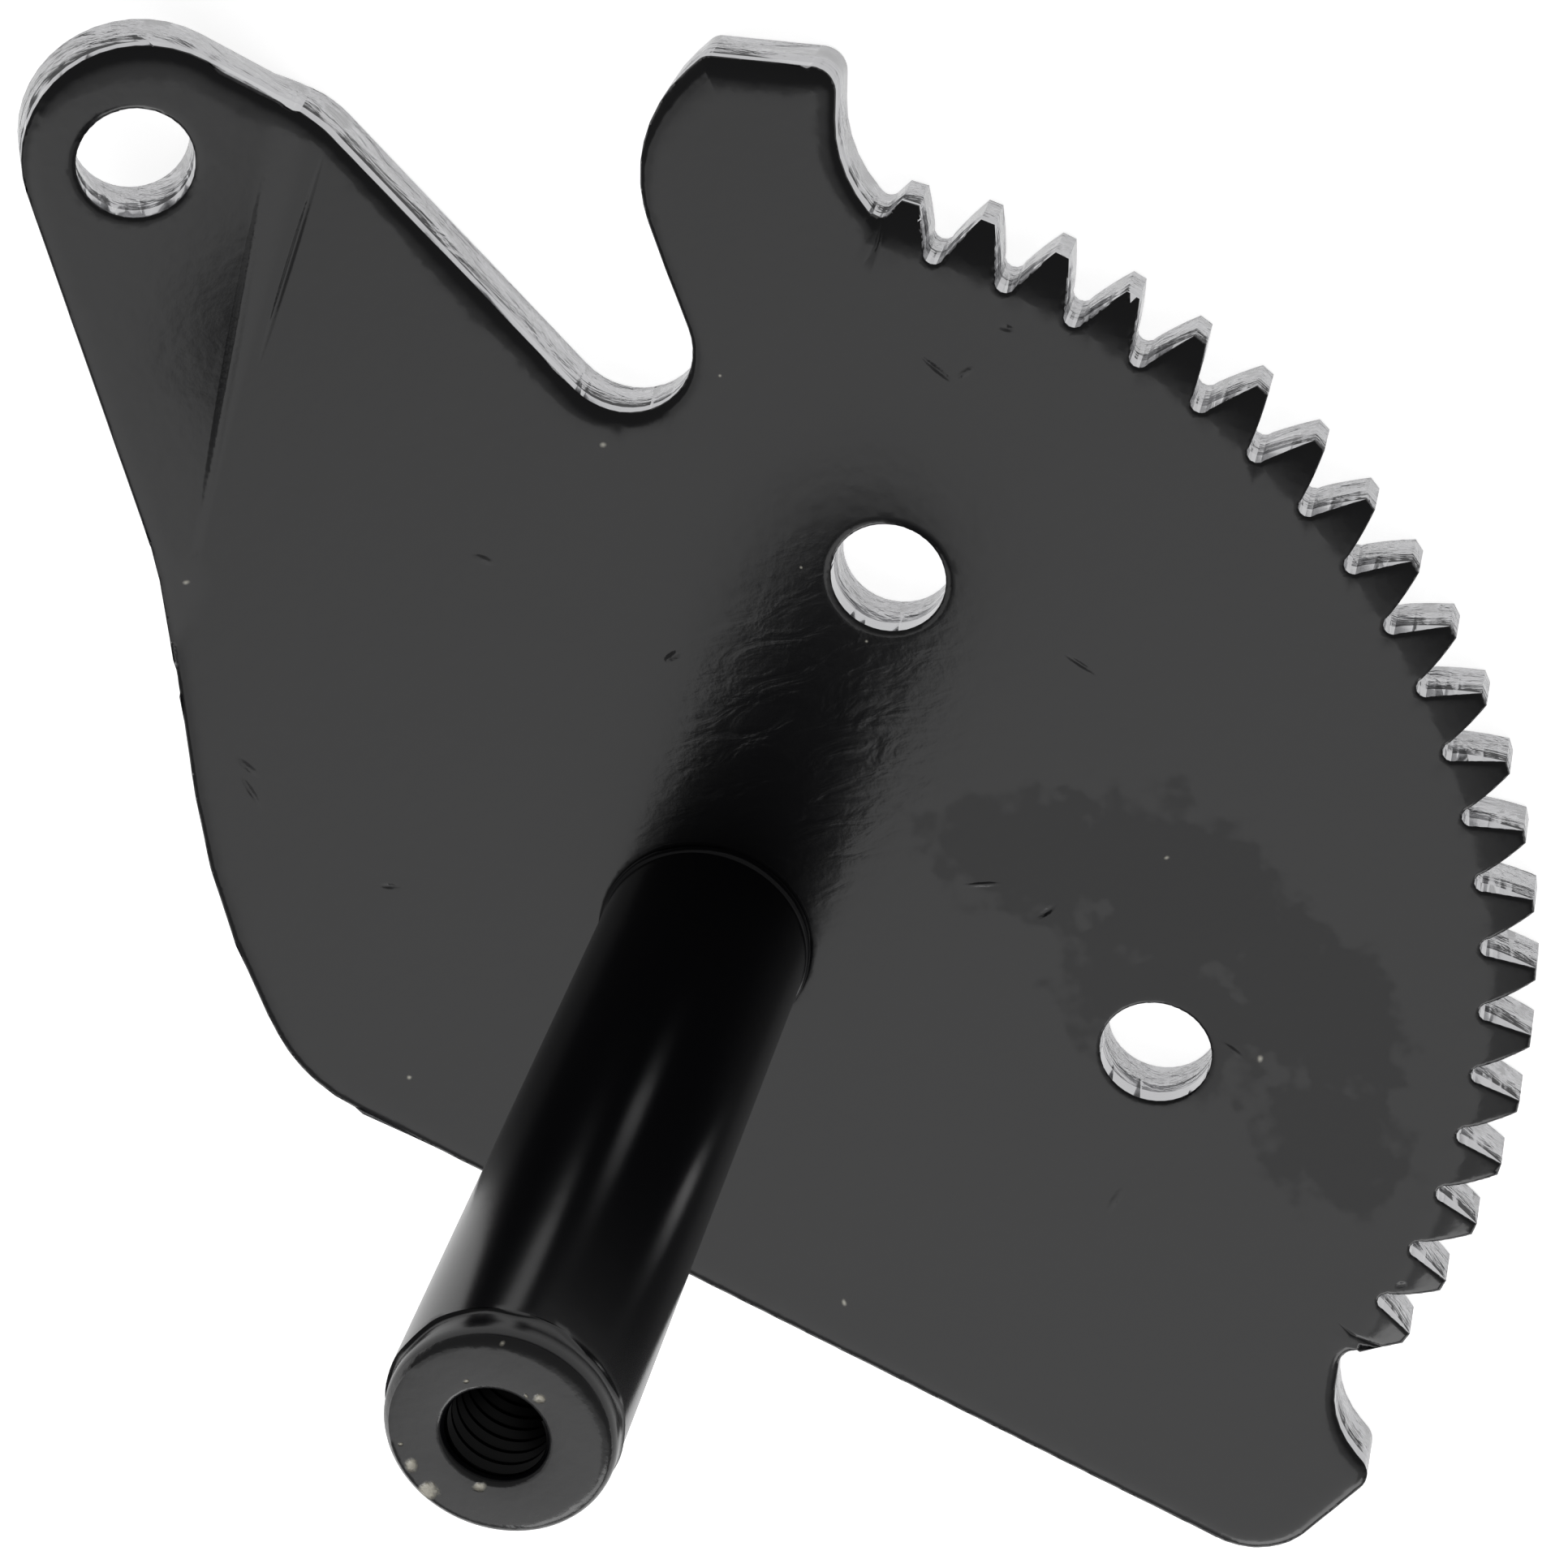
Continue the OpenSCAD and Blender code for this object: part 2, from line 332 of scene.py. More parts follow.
def chipColour(tree, shader, mask, paint, bare):
    mix = addNode(tree, "Mix", data_type="RGBA")
    mix.inputs[6].default_value = (*paint, 1)
    mix.inputs[7].default_value = (*bare, 1)
    clamp = addNode(tree, "Math", {1: 1.0}, operation="MINIMUM")
    link = linker(tree)
    link(mask, 0, clamp, 0)
    link(clamp, 0, mix, 0)
    link(mix, 2, shader, "Base Color")


# bend of the ear: its line as in the part's source, its radius tighter at the foot and wider at the top
plateThick = 6.35
bend = {"x": -5.0, "y": 80.25, "angle": 51.9, "turn": 22.0, "tight": 3.0, "wide": 10.0, "length": 34.0}
acrossX = math.cos(math.radians(bend["angle"] + 90))
acrossY = math.sin(math.radians(bend["angle"] + 90))
bendTurn = math.radians(bend["turn"])

plateLook = {
    "colour": (0.0085, 0.0085, 0.0095), "rough": 0.17, "specular": 0.42, "bare": (0.62, 0.6, 0.52),
    "gloss": 0.24,  # share of the clear gloss, which the film takes away
    "dentDepth": 0.0001, "waveDepth": 0.00012, "peelDepth": 0.00006, "peel": (0.25, 1.0),
    "waveScale": 420, "waveAlong": 0.45, "waveTurn": -5,
    "filmGrain": 330, "filmEdge": (0.03, 0.3),
    "dents": [
        # two creases beside the bend
        (-7.6, 72.7, 6, 47.7, 11.5, 0.4, -1.8, 0.1), (-16.2, 66.9, 6.6, 53.5, 19, 0.7, -1.6, 0.15),
        (42.0, 44.6, 6, -62, 1.8, 0.32, -1.0, 0.3), (43.2, 15.0, 6, -55, 1.9, 0.3, -1.0, 0.3),
        (-33.5, 29.6, 6, 118, 1.6, 0.5, 1.0, 0.3), (-34.3, 27.2, 6, 96, 2.0, 0.42, 1.0, 0.3),
        (31.1, -6.8, 6, 20, 1.3, 0.45, -1.1, 0.3), (-26.0, 14.3, 6, -20, 1.1, 0.4, -1.0, 0.4),
        (25.8, -36.6, 6, 40, 1.9, 0.5, 0.9, 0.4), (9.0, 27.2, 6, 10, 1.1, 0.5, -0.9, 0.4),
        (-3.5, 41.3, 6, -40, 1.3, 0.5, 0.9, 0.3), (41.9, -25.2, 6, -60, 1.6, 0.4, 0.8, 0.3),
        (47.6, -52.9, 6, 0, 0.7, 0.5, -1.0, 0.6), (49.1, 46.1, 6, -30, 0.8, 0.4, -0.7, 0.4),
        (44.2, 43.5, 6, 15, 1.0, 0.4, 0.6, 0.4), (26.6, -2.5, 6, -15, 2.2, 0.3, 0.7, 0.5),
    ],
    # a stretch of rougher paint, over which the shaft's mirror image runs
    "roughZone": [(16, 14, 6, 43, 30, 19, 1, 0.2)],
    # a faint duller film
    "film": [
        (32, -1, 6, -30, 13, 8, 1, 1.1), (44, -9, 6, -60, 16, 10, 1, 1.1), (51, -24, 6, -85, 13, 9, 1, 1.1),
        (37, -20, 6, -60, 13, 9, 1, 1.1), (47, -37, 6, -80, 10, 8, 1, 1.1),
    ],
    "chips": [
        (-3.1, -39.6, 6, 80, 0.55, 0.3, 1, 0.5), (-30.5, 48.2, 6, 0, 0.45, 0.3, 1, 0.5),
        (11.4, 47.8, 6, 0, 0.42, 0.34, 1, 0.5), (43.9, -26.7, 6, 60, 0.5, 0.35, 1, 0.5),
        (43.4, -5.1, 6, 10, 0.34, 0.24, 1, 0.5), (-33.1, -4.7, 6, 20, 0.34, 0.3, 1, 0.5),
        (23.9, 50.3, 6, 0, 0.22, 0.2, 1, 0.5), (23.4, 31.4, 6, 0, 0.2, 0.2, 1, 0.5),
        (26.1, 23.0, 6, 0, 0.2, 0.2, 1, 0.5),
    ],
}


def plateEnamel():
    look = plateLook
    mat, tree, shader, coords = enamel("plateEnamel", look)
    link = linker(tree)
    dentBump = addBump(tree, shader, spots(tree, coords, look["dents"]), look["dentDepth"])
    roughMask = spots(tree, coords, look["roughZone"])
    stretched = addNode(tree, "Mapping", {
        "Rotation": (0, 0, math.radians(look["waveTurn"])), "Scale": (look["waveAlong"], 1.0, 1.0)})
    waves = addNode(tree, "TexNoise", {"Scale": look["waveScale"], "Detail": 3, "Distortion": 0.8})
    roughWaves = addNode(tree, "Math", operation="MULTIPLY")
    link(coords, "Object", stretched, "Vector")
    link(stretched, 0, waves, "Vector")
    link(roughMask, 0, roughWaves, 0)
    link(waves, 0, roughWaves, 1)
    waveBump = addBump(tree, shader, roughWaves, look["waveDepth"], dentBump)
    addBump(tree, shader, peel(tree, coords, look["peel"]), look["peelDepth"], waveBump)
    film = spots(tree, coords, look["film"], look["filmGrain"])
    low, high = look["filmEdge"]
    gloss = addNode(tree, "MapRange", {
        "From Min": low, "From Max": high, "To Min": look["gloss"], "To Max": 0.0},
        interpolation_type="SMOOTHSTEP")
    shader.inputs["Coat Roughness"].default_value = look["rough"]
    link(film, 0, gloss, "Value")
    link(gloss, 0, shader, "Coat Weight")
    chipColour(tree, shader, spots(tree, coords, look["chips"]), look["colour"], look["bare"])
    return mat


# cut walls: a bright grey steel colour as painted reflection, standing in for the bright backdrop mirrored
# in walls that are enamelled black; the bumps are burnished near the front, torn below it
edgeReflectionLook = {
    # colour: painted reflection, a grey metal that stands in for the bright backdrop mirrored in the black
    # enamelled walls
    "colour": (0.5, 0.5, 0.51), "rough": 0.2, "tornScale": 170, "tornDown": 3.2, "tornDepth": 0.0012,
    "burnished": 4.6, "torn": 3.0, "peel": (0.4, 2.0), "peelDepth": 0.00005,
}


def cutEdgePaintedReflection():
    look = edgeReflectionLook
    mat, tree, shader, coords = enamel("cutEdgePaintedReflection", look)
    shader.inputs["Metallic"].default_value = 1.0
    link = linker(tree)
    stretch = addNode(tree, "Mapping", {"Scale": (1.0, 1.0, look["tornDown"])})
    torn = addNode(tree, "TexNoise", {
        "Scale": look["tornScale"], "Detail": 4, "Roughness": 0.6, "Distortion": 0.6})
    apart = addNode(tree, "SeparateXYZ")
    # height over the plate's own back, also on the raised ear
    fromBend = addNode(tree, "VectorMath", {1: (bend["x"] * mm, bend["y"] * mm, 0)}, operation="SUBTRACT")
    slope = math.tan(bendTurn)
    rise = addNode(tree, "VectorMath", {1: (acrossX * slope, acrossY * slope, 0)}, operation="DOT_PRODUCT")
    onEar = addNode(tree, "Math", {1: 0.0}, operation="MAXIMUM")
    ownHeight = addNode(tree, "Math", operation="SUBTRACT")
    deep = addNode(tree, "MapRange", {"From Min": look["burnished"] * mm, "From Max": look["torn"] * mm})
    weighted = addNode(tree, "Math", operation="MULTIPLY")
    link(coords, "Object", stretch, "Vector")
    link(stretch, 0, torn, "Vector")
    link(coords, "Object", apart, 0)
    link(coords, "Object", fromBend, 0)
    link(fromBend, 0, rise, 0)
    link(rise, "Value", onEar, 0)
    link(apart, "Z", ownHeight, 0)
    link(onEar, 0, ownHeight, 1)
    link(ownHeight, 0, deep, "Value")
    link(torn, 0, weighted, 0)
    link(deep, 0, weighted, 1)
    tornBump = addBump(tree, shader, weighted, look["tornDepth"])
    addBump(tree, shader, peel(tree, coords, look["peel"]), look["peelDepth"], tornBump)
    return mat


shaftLook = {"colour": (0.0045, 0.0045, 0.006), "rough": 0.2, "peel": (0.15, 1.0), "peelDepth": 0.00003}
shaftEndLook = {
    "colour": (0.02, 0.02, 0.021), "rough": 0.2, "specular": 0.6, "bare": (0.6, 0.57, 0.48),
    "peel": (0.6, 3.0), "peelDepth": 0.0001, "chipDepth": -0.00012,
    "chips": [
        (-7.3, -3.1, 86.8, 20, 1.15, 0.95, 1.6, 0.7), (-7.5, -0.5, 86.8, 60, 0.8, 0.65, 1.6, 0.6),
        (-3.1, -3.9, 86.8, 10, 0.7, 0.5, 1.6, 0.7), (5.0, 2.2, 86.8, 10, 0.6, 0.5, 1.6, 0.6),
        (0.1, 5.3, 86.8, 0, 0.3, 0.2, 1, 0.6), (4.2, 7.5, 86.8, 0, 0.32, 0.22, 1, 0.6),
        (4.1, 2.7, 86.8, 0, 0.2, 0.3, 1, 0.6), (-7.5, 1.5, 86.8, 0, 0.28, 0.2, 1, 0.6),
        (-8.6, 3.4, 86.4, 0, 0.35, 0.2, 1, 0.6), (-6.9, 6.1, 86.4, 0, 0.3, 0.3, 1, 0.6),
    ],
}
threadLook = {"colour": (0.006, 0.006, 0.007), "rough": 0.3}


def shaftEnamel():
    mat, tree, shader, coords = enamel("shaftEnamel", shaftLook)
    addBump(tree, shader, peel(tree, coords, shaftLook["peel"]), shaftLook["peelDepth"])
    return mat


def shaftEndEnamel():
    look = shaftEndLook
    mat, tree, shader, coords = enamel("shaftEndEnamel", look)
    chips = spots(tree, coords, look["chips"])
    chipColour(tree, shader, chips, look["colour"], look["bare"])
    chipBump = addBump(tree, shader, chips, look["chipDepth"])
    addBump(tree, shader, peel(tree, coords, look["peel"]), look["peelDepth"], chipBump)
    return mat


plateMat = plateEnamel()
edgeReflectionMat = cutEdgePaintedReflection()
shaftMat = shaftEnamel()
endMat = shaftEndEnamel()
threadMat = enamel("threadEnamel", threadLook)[0]
print("materials ready")


# shape of the plate's front, in mm
def acrossOf(co):
    return (co.x / mm - bend["x"]) * acrossX + (co.y / mm - bend["y"]) * acrossY


def alongOf(co):
    return (co.x / mm - bend["x"]) * acrossY - (co.y / mm - bend["y"]) * acrossX


def bendRadius(along):
    share = min(max(1 + along / bend["length"], 0.0), 1.0)
    return bend["tight"] + (bend["wide"] - bend["tight"]) * share ** 1.5


def bendHalf(along):
    return bendRadius(along) * math.tan(bendTurn / 2)


# distance past the bend's start, and how far the face is turned there
def bendAt(co):
    along = alongOf(co)
    past = acrossOf(co) + bendHalf(along)
    radius = bendRadius(along)
    return past, radius, math.asin(min(max(past / radius, 0.0), math.sin(bendTurn)))


def faceNormal(co):
    a = bendAt(co)[2]
    return Vector((-math.sin(a) * acrossX, -math.sin(a) * acrossY, math.cos(a)))


def faceHeight(co):
    past, radius, a = bendAt(co)
    rise = radius * (1 - math.cos(a))
    beyond = past - radius * math.sin(a)
    return (plateThick + rise + max(beyond, 0.0) * math.tan(a)) * mm


def inBend(co, margin):
    return abs(acrossOf(co)) < bendHalf(alongOf(co)) + margin


# rolled edges of the front: width and depth in mm
rolls = {
    "plain": (1.3, 0.4),
    "plainWeight": 0.35,
    "teeth": (0.7, 0.17),
    "teethFrom": 68.6,
    "teethWithin": 54.2,
    # x, y, reach, width, depth round the holes
    "holes": [(30.3, 27.9, 12, 0.9, 0.2), (35.1, -23.3, 12, 0.9, 0.2), (0, 0, 12, 0.9, 0.2),
              (-15, 86.5, 7, 0.9, 0.25)],
    # x, y, reach, width, depth of the soft rolled bands
    "soft": [
        (30, 77, 6, 4.2, 1.25), (39, 74, 5, 4.0, 1.2), (43, 67, 5, 2.6, 0.9),
        (2, 76, 5, 2.6, 0.75), (6, 66, 6, 4.2, 0.95), (11, 54, 5, 3.8, 0.95), (17, 49, 4, 2.2, 0.8),
        (-12, 97, 6, 3.8, 1.05), (-3, 88, 5, 3.4, 0.95), (-22, 94, 5, 2.4, 0.7),
        (24, 71, 5, 1.6, 0.6),
        (-42, 10, 14, 3.6, 0.6), (-38, -8, 10, 3.4, 0.6), (-18, -32, 16, 3.2, 0.55),
        (4, -56, 16, 3.2, 0.55), (20, -74, 9, 3.4, 0.6), (34, -74, 6, 3.0, 0.6), (37, -65, 5, 2.6, 0.7),
        (-35, 40, 10, 2.6, 0.5),
    ],
}


def rollAt(co):
    x, y = co.x / mm, co.y / mm
    angle = abs(math.degrees(math.atan2(y, x)))
    if math.hypot(x, y) > rolls["teethFrom"] and angle < rolls["teethWithin"]:
        return rolls["teeth"]
    for holeX, holeY, reach, holeWidth, holeDepth in rolls["holes"]:
        if math.hypot(x - holeX, y - holeY) < reach:
            return holeWidth, holeDepth
    total = rolls["plainWeight"]
    width, depth = (total * value for value in rolls["plain"])
    for softX, softY, reach, softWidth, softDepth in rolls["soft"]:
        near = math.exp(-((x - softX) ** 2 + (y - softY) ** 2) / (reach * reach))
        total += near
        width += near * softWidth
        depth += near * softDepth
    return width / total, depth / total


# how far the stamping tool drew the face down on the teeth
teeth = {"start": 70.2, "tip": 74.85, "drop": 1.6, "within": 54.6, "curve": 1.5, "solidFrom": 69}


def toothDrop(co):
    if abs(math.degrees(math.atan2(co.y, co.x))) > teeth["within"]:
        return 0.0
    t = (math.hypot(co.x, co.y) / mm - teeth["start"]) / (teeth["tip"] - teeth["start"])
    return teeth["drop"] * min(max(t, 0.0), 1.0) ** teeth["curve"] * mm


# the plate's skin: its front is taken off and laid again with a mesh that gets finer towards its rim
skin = {
    "frontNormal": 0.84,  # a face whose normal's z is over this belongs to the front
    "wallNormal": 0.42,
    "grid": 2.5,
    "merge": 2e-6,
    "rimStep": 0.05,
    "rings": (0.1, 0.24, 0.42, 0.65, 0.95, 1.35, 1.8),
    "quickRings": (0.15, 0.5),
    "spacing": 1.0,
    "quickSpacing": 2.0,
    "bendRows": 14,
    "bendStep": 0.7,
    "earFrom": 40.0,  # the bend and the ear lie beyond this y ...
    "earTo": 12.0,    # ... and short of this x
    "sliver": 2e-10,
    "smooth": 32,
}
seam = {"low": 0.9, "high": 1.35, "step": 0.3}  # where the solid's bend meets its ear, across the bend
rings = skin["rings"]
spacing = skin["spacing"]


def isFront(face):
    return face.normal.z > skin["frontNormal"]


def onSeam(co):
    return seam["low"] < acrossOf(co) < seam["high"]


def bisectInGrid(obj, node):
    lowest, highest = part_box(node)
    editAll(obj)
    for axis in (0, 1):
        normal = (1, 0, 0) if axis == 0 else (0, 1, 0)
        at = lowest[axis] / mm + skin["grid"]
        while at < highest[axis] / mm:
            bpy.ops.mesh.select_all(action="SELECT")
            bpy.ops.mesh.bisect(plane_co=[at * mm * c for c in normal], plane_no=normal)
            at += skin["grid"]
    bpy.ops.mesh.select_all(action="SELECT")
    bpy.ops.mesh.remove_doubles(threshold=skin["merge"])
    bpy.ops.object.mode_set(mode="OBJECT")


def frontRim(mesh):
    count = {}
    for poly in mesh.polygons:
        if isFront(poly):
            for key in poly.edge_keys:
                count[key] = count.get(key, 0) + 1

    def isSeam(key):
        a, b = mesh.vertices[key[0]].co, mesh.vertices[key[1]].co
        runsAlong = abs(acrossOf(a) - acrossOf(b)) < 0.3 * abs(alongOf(a) - alongOf(b))
        return onSeam(a) and onSeam(b) and runsAlong

    return [key for key, faces in count.items() if faces == 1 and not isSeam(key)]


# points along the rim, each with the level direction into the plate
def sampleRim(mesh, rimKeys):
    samples, inward = [], []
    for poly in mesh.polygons:
        if not isFront(poly):
            continue
        for key in poly.edge_keys:
            if key not in rimKeys:
                continue
            p, q = (mesh.vertices[k].co.copy() for k in key)
            side = (q - p).cross(Vector((0, 0, 1)))
            side.z = 0
            if side.length < 1e-9:
                continue
            side.normalize()
            if side.dot(poly.center - p) < 0:
                side.negate()
            steps = max(1, int((q - p).length / (skin["rimStep"] * mm)))
            for k in range(steps):
                samples.append(p.lerp(q, k / steps))
                inward.append(side)
    return samples, inward


plate = copyOfNode("sector_plate", "sectorPlateSkin")
mesh = plate.data
topOfPlate = BVHTree.FromPolygons([v.co.copy() for v in mesh.vertices],
                                  [tuple(p.vertices) for p in mesh.polygons if isFront(p)])
bisectInGrid(plate, "sector_plate")
rimKeys = frontRim(mesh)
samples, inward = sampleRim(mesh, set(rimKeys))
rim = KDTree(len(samples))
for index, co in enumerate(samples):
    rim.insert(co, index)
rim.balance()


def overPlate(x, y):
    return topOfPlate.ray_cast(Vector((x, y, 0.05)), Vector((0, 0, -1)))[0]


def farFromRim(hit, away):
    return hit is not None and rim.find(hit)[2] > away * mm


def ringPoints():
    points = []
    for away in rings:
        last = None
        for sample, side in zip(samples, inward):
            if last is not None and (sample - last).length < (0.25 + 0.6 * away) * mm:
                continue
            p = sample + side * (away * mm)
            hit = overPlate(p.x, p.y)
            if farFromRim(hit, 0.93 * away):
                last = sample
                points.append(hit)
    return points


def bendPoints():
    points = []
    for row in range(skin["bendRows"] + 1):
        along = -bend["length"] - 4
        while along < 6:
            half = bendHalf(along) * 1.08
            across = -half + 2 * half * row / skin["bendRows"]
            hit = overPlate((bend["x"] + along * acrossY + across * acrossX) * mm,
                            (bend["y"] - along * acrossX + across * acrossY) * mm)
            if farFromRim(hit, rings[-1] + 0.2):
                points.append(hit)
            along += skin["bendStep"]
    return points


def innerPoints():
    points = []
    (lowX, lowY, _), (highX, highY, _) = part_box("sector_plate")
    y, row = lowY, 0
    while y < highY:
        x = lowX + (0.5 * spacing * mm if row % 2 else 0)
        while x < highX:
            hit = overPlate(x, y)
            if farFromRim(hit, rings[-1] + 0.45 * spacing) and not inBend(hit, 0.6):
                points.append(hit)
            x += spacing * mm
        y += spacing * 0.87 * mm
        row += 1
    return points


def pointOnFront(v, rimPlace):
    hit = rimPlace.get((round(v.x, 7), round(v.y, 7)))
    if hit is None and v.y < skin["earFrom"] * mm:
        hit = overPlate(v.x, v.y)
    elif hit is None:
        hit = Vector((v.x, v.y, faceHeight(v)))
    if hit is None:
        nearest = topOfPlate.find_nearest(Vector((v.x, v.y, plateThick * mm)))[0]
        hit = Vector((v.x, v.y, nearest.z))
    return hit


def isSeamWall(face):
    heights = [v.co.z for v in face.verts]
    low = max(heights) - min(heights) <= seam["step"] * mm and min(heights) >= 0.8 * plateThick * mm
    return low and all(onSeam(v.co) for v in face.verts)


def layFront(mesh):
    corners = sorted({k for key in rimKeys for k in key})
    order = {k: n for n, k in enumerate(corners)}
    rimPoints = [mesh.vertices[k].co.copy() for k in corners]
    points = rimPoints + ringPoints() + bendPoints() + innerPoints()
    rimPlace = {(round(p.x, 7), round(p.y, 7)): p for p in rimPoints}
    edges = [(order[a], order[b]) for a, b in rimKeys]
    laid = delaunay_2d_cdt([Vector((p.x, p.y)) for p in points], edges, [], 0, 1e-7)
    flatVerts, flatFaces = laid[0], laid[2]
    bm = bmesh.new()
    bm.from_mesh(mesh)
    bm.normal_update()
    gone = [f for f in bm.faces if isFront(f)]
    gone += [f for f in bm.faces if not isFront(f) and isSeamWall(f)]
    bmesh.ops.delete(bm, geom=gone, context="FACES_KEEP_BOUNDARY")
    verts = [bm.verts.new(pointOnFront(v, rimPlace)) for v in flatVerts]
    for face in flatFaces:
        if area_tri(*[flatVerts[k] for k in face]) < skin["sliver"]:
            continue
        centre = sum((verts[k].co for k in face), Vector()) / len(face)
        onPlate = overPlate(centre.x, centre.y) is not None
        if not onPlate and onSeam(centre) and farFromRim(centre, 0.2):
            onPlate = overPlate(centre.x + 0.1 * mm, centre.y) is not None
        if onPlate:
            bm.faces.new([verts[k] for k in face])
    bmesh.ops.remove_doubles(bm, verts=bm.verts, dist=skin["merge"])
    bmesh.ops.delete(bm, geom=[v for v in bm.verts if not v.link_faces], context="VERTS")
    bmesh.ops.recalc_face_normals(bm, faces=bm.faces)
    bm.to_mesh(mesh)
    bm.free()


# how far a point of the front sinks for the rolled edge, the drawn teeth and the ear's bend
def sinkAt(co):
    nearest, _, distance = rim.find(co)
    width, depth = rollAt(nearest)
    t = distance / mm / width
    sink = Vector()
    drawn = toothDrop(co)
    onTeeth = math.hypot(co.x, co.y) > teeth["solidFrom"] * mm and co.z < plateThick * mm
    if drawn or onTeeth:
        sink.z = (co.z - plateThick * mm) + drawn
    if t < 1:
        sink += faceNormal(co) * (depth * mm * (0.6 * (1 - t) ** 3 + 0.4 * (1 - t) ** 6))
    if co.y > skin["earFrom"] * mm and co.x < skin["earTo"] * mm:
        sink.z += co.z - faceHeight(co)
    return sink


layFront(mesh)
print("plate laid", len(mesh.vertices), len(mesh.polygons))

front = set()
for poly in mesh.polygons:
    if isFront(poly):
        front.update(poly.vertices)
sinks = {k: sinkAt(mesh.vertices[k].co) for k in front}
for k, sink in sinks.items():
    mesh.vertices[k].co -= sink
mesh.materials.append(plateMat)
mesh.materials.append(edgeReflectionMat)
for poly in mesh.polygons:
    isWall = abs(poly.normal.z) < skin["wallNormal"] and not set(poly.vertices) <= front
    poly.material_index = 1 if isWall else 0
smooth(plate, skin["smooth"])
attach(plate, "root")
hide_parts("sector_plate")
print("plate ready", len(mesh.polygons))


# shaft, in mm: radius and height from the foot to the countersink
shaft = {
    "steps": 96,
    "profile": [
        (0, 0.02), (9.45, 0.02), (9.5, 6.0), (9.84, 6.36), (9.85, 6.9), (9.8, 7.12), (9.68, 7.24),
        (9.56, 7.3),
        (9.525, 7.8), (9.525, 20), (9.525, 40), (9.525, 60), (9.525, 82.6), (9.525, 83.25),
        (9.51, 83.45), (9.44, 83.6), (9.34, 83.75), (9.3, 83.95), (9.3, 84.6), (9.3, 85.3), (9.24, 85.75),
        (9.06, 86.18), (8.78, 86.5), (8.4, 86.72), (7.95, 86.8), (6.0, 86.8), (4.75, 86.79), (4.5, 86.72),
        (4.34, 86.55), (4.2, 86.3), (4.15, 86.05),
    ],
    "bandFrom": 83.47, "bandTo": 86.6, "bandRadius": 8.6,  # end band, turned off centre
    "bandTurn": 140, "bandShift": 0.22,
    "lipFrom": 83.3, "lipTo": 84,
    "lipWaves": [(0.3, 3, 1.1), (0.2, 7, 0), (0.14, 12, 2)],  # height, waves round, phase
    "collarFrom": 6.2, "collarTo": 7.2,
    "collarWaves": [(0.004, 3, 0.6), (0.003, 7, 2)],  # share, waves round, phase
    "endFrom": 86.2, "endRadius": 4.3,
}


def lathe(name, profile, steps):
    mesh = bpy.data.meshes.new(name)
    mesh.from_pydata([(r * mm, 0, z * mm) for r, z in profile],
                     [(k, k + 1) for k in range(len(profile) - 1)], [])
    obj = bpy.data.objects.new(name, mesh)
    bpy.context.collection.objects.link(obj)
    editAll(obj)
    bpy.ops.mesh.spin(steps=steps, angle=math.tau, center=(0, 0, 0), axis=(0, 0, 1))
    bpy.ops.mesh.select_all(action="SELECT")
    bpy.ops.mesh.remove_doubles(threshold=1e-6)
    bpy.ops.mesh.normals_make_consistent(inside=False)
    bpy.ops.object.mode_set(mode="OBJECT")
    return obj


def wavesAt(waves, co):
    a = math.atan2(co.y, co.x)
    return sum(size * math.sin(times * a + phase) for size, times, phase in waves)


shaftBody = lathe("pivotShaftSkin", shaft["profile"], shaft["steps"])
bandShift = towards(shaft["bandTurn"], 0) * shaft["bandShift"] * mm
for vert in shaftBody.data.vertices:
    z = vert.co.z / mm
    if shaft["bandFrom"] < z < shaft["bandTo"] and vert.co.xy.length > shaft["bandRadius"] * mm:
        vert.co -= bandShift
    # the lip of paint over the band hangs down unevenly
    if shaft["lipFrom"] < z < shaft["lipTo"]:
        vert.co.z += wavesAt(shaft["lipWaves"], vert.co) * mm
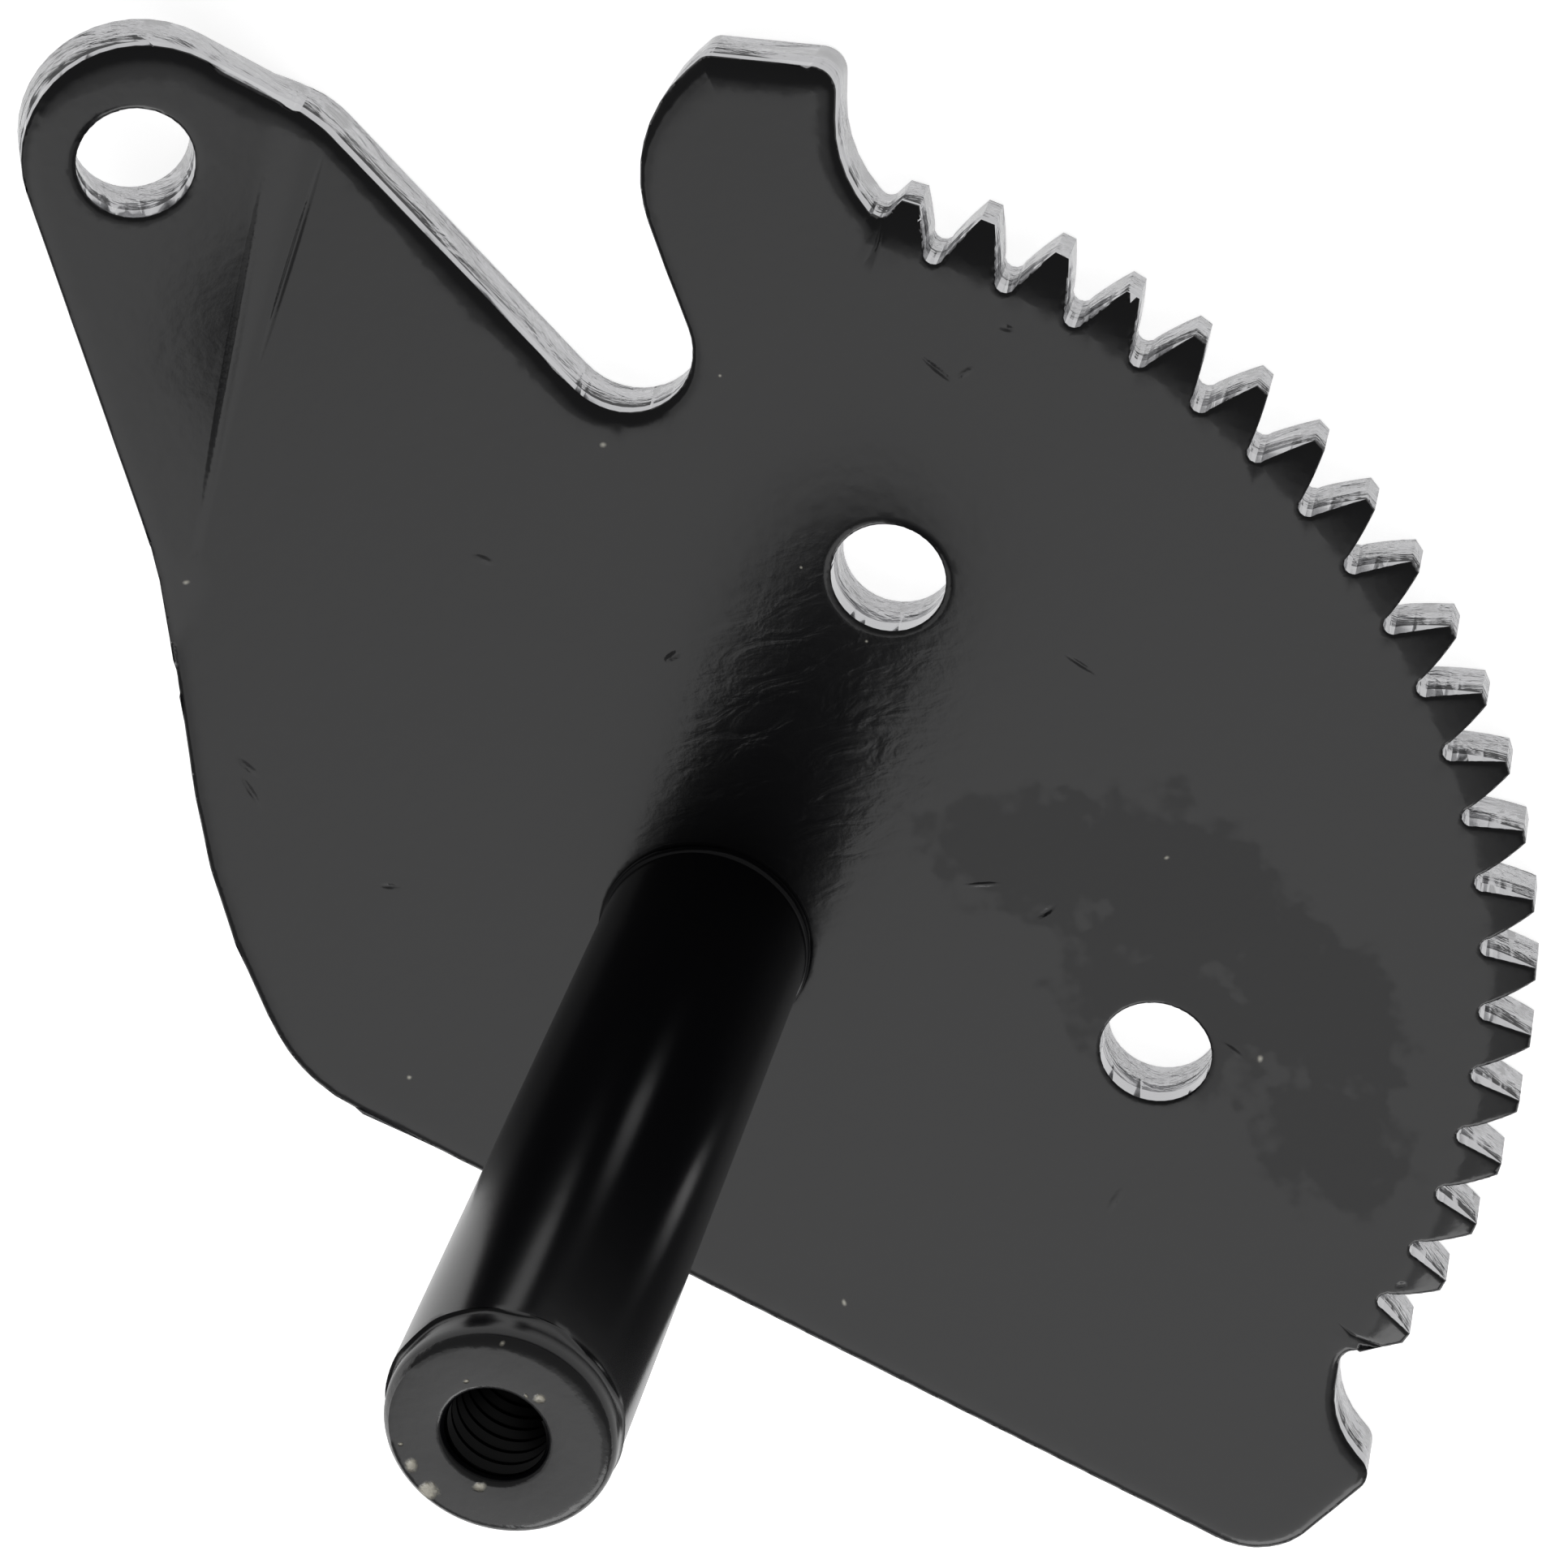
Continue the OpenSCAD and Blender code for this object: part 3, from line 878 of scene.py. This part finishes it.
# the collar is a slightly uneven bead
for vert in shaftBody.data.vertices:
    if shaft["collarFrom"] < vert.co.z / mm < shaft["collarTo"]:
        swell = 1 + wavesAt(shaft["collarWaves"], vert.co)
        vert.co.x *= swell
        vert.co.y *= swell
shaftBody.data.materials.append(shaftMat)
shaftBody.data.materials.append(endMat)
for poly in shaftBody.data.polygons:
    isEnd = poly.center.z > shaft["endFrom"] * mm and poly.center.xy.length > shaft["endRadius"] * mm
    poly.material_index = 1 if isEnd else 0
smooth(shaftBody, 40)
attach(shaftBody, "root")
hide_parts("pivot_shaft")

# tapped thread: one wall of the helix, repeated by a screw
thread = {"pitch": 1.5875, "crest": 4.05, "root": 4.72, "turns": 15, "top": 86.5, "steps": 48}
pitch, crest, root = thread["pitch"], thread["crest"], thread["root"]
threadFoot = thread["top"] - thread["turns"] * pitch
profile = [(crest, 0), (crest, 0.2), (root, 0.75), (root, 0.85), (crest, 1.4), (crest, pitch)]
threadMesh = bpy.data.meshes.new("shaftThread")
threadMesh.from_pydata([(r * mm, 0, (threadFoot + z) * mm) for r, z in profile],
                       [(k, k + 1) for k in range(len(profile) - 1)], [])
threadObj = bpy.data.objects.new("shaftThread", threadMesh)
bpy.context.collection.objects.link(threadObj)
makeActive(threadObj)
screw = threadObj.modifiers.new("helix", "SCREW")
screw.axis = "Z"
screw.screw_offset = pitch * mm
screw.iterations = thread["turns"] - 1
screw.steps = thread["steps"]
screw.render_steps = thread["steps"]
screw.use_merge_vertices = True
bpy.ops.object.modifier_apply(modifier="helix")
editAll(threadObj)
bpy.ops.mesh.remove_doubles(threshold=1e-6)
bpy.ops.mesh.normals_make_consistent(inside=True)
bpy.ops.object.mode_set(mode="OBJECT")
threadObj.data.materials.append(threadMat)
smooth(threadObj, 30)
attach(threadObj, "root")

# blind end of the tapped hole
drillPoint = lathe("threadBottom", [(0, 59.2), (3.98, 61.6), (4.2, 61.6), (4.2, 64)], thread["steps"])
drillPoint.data.materials.append(threadMat)
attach(drillPoint, "root")
print("shaft ready")

bpy.context.scene.view_settings.view_transform = "Standard"
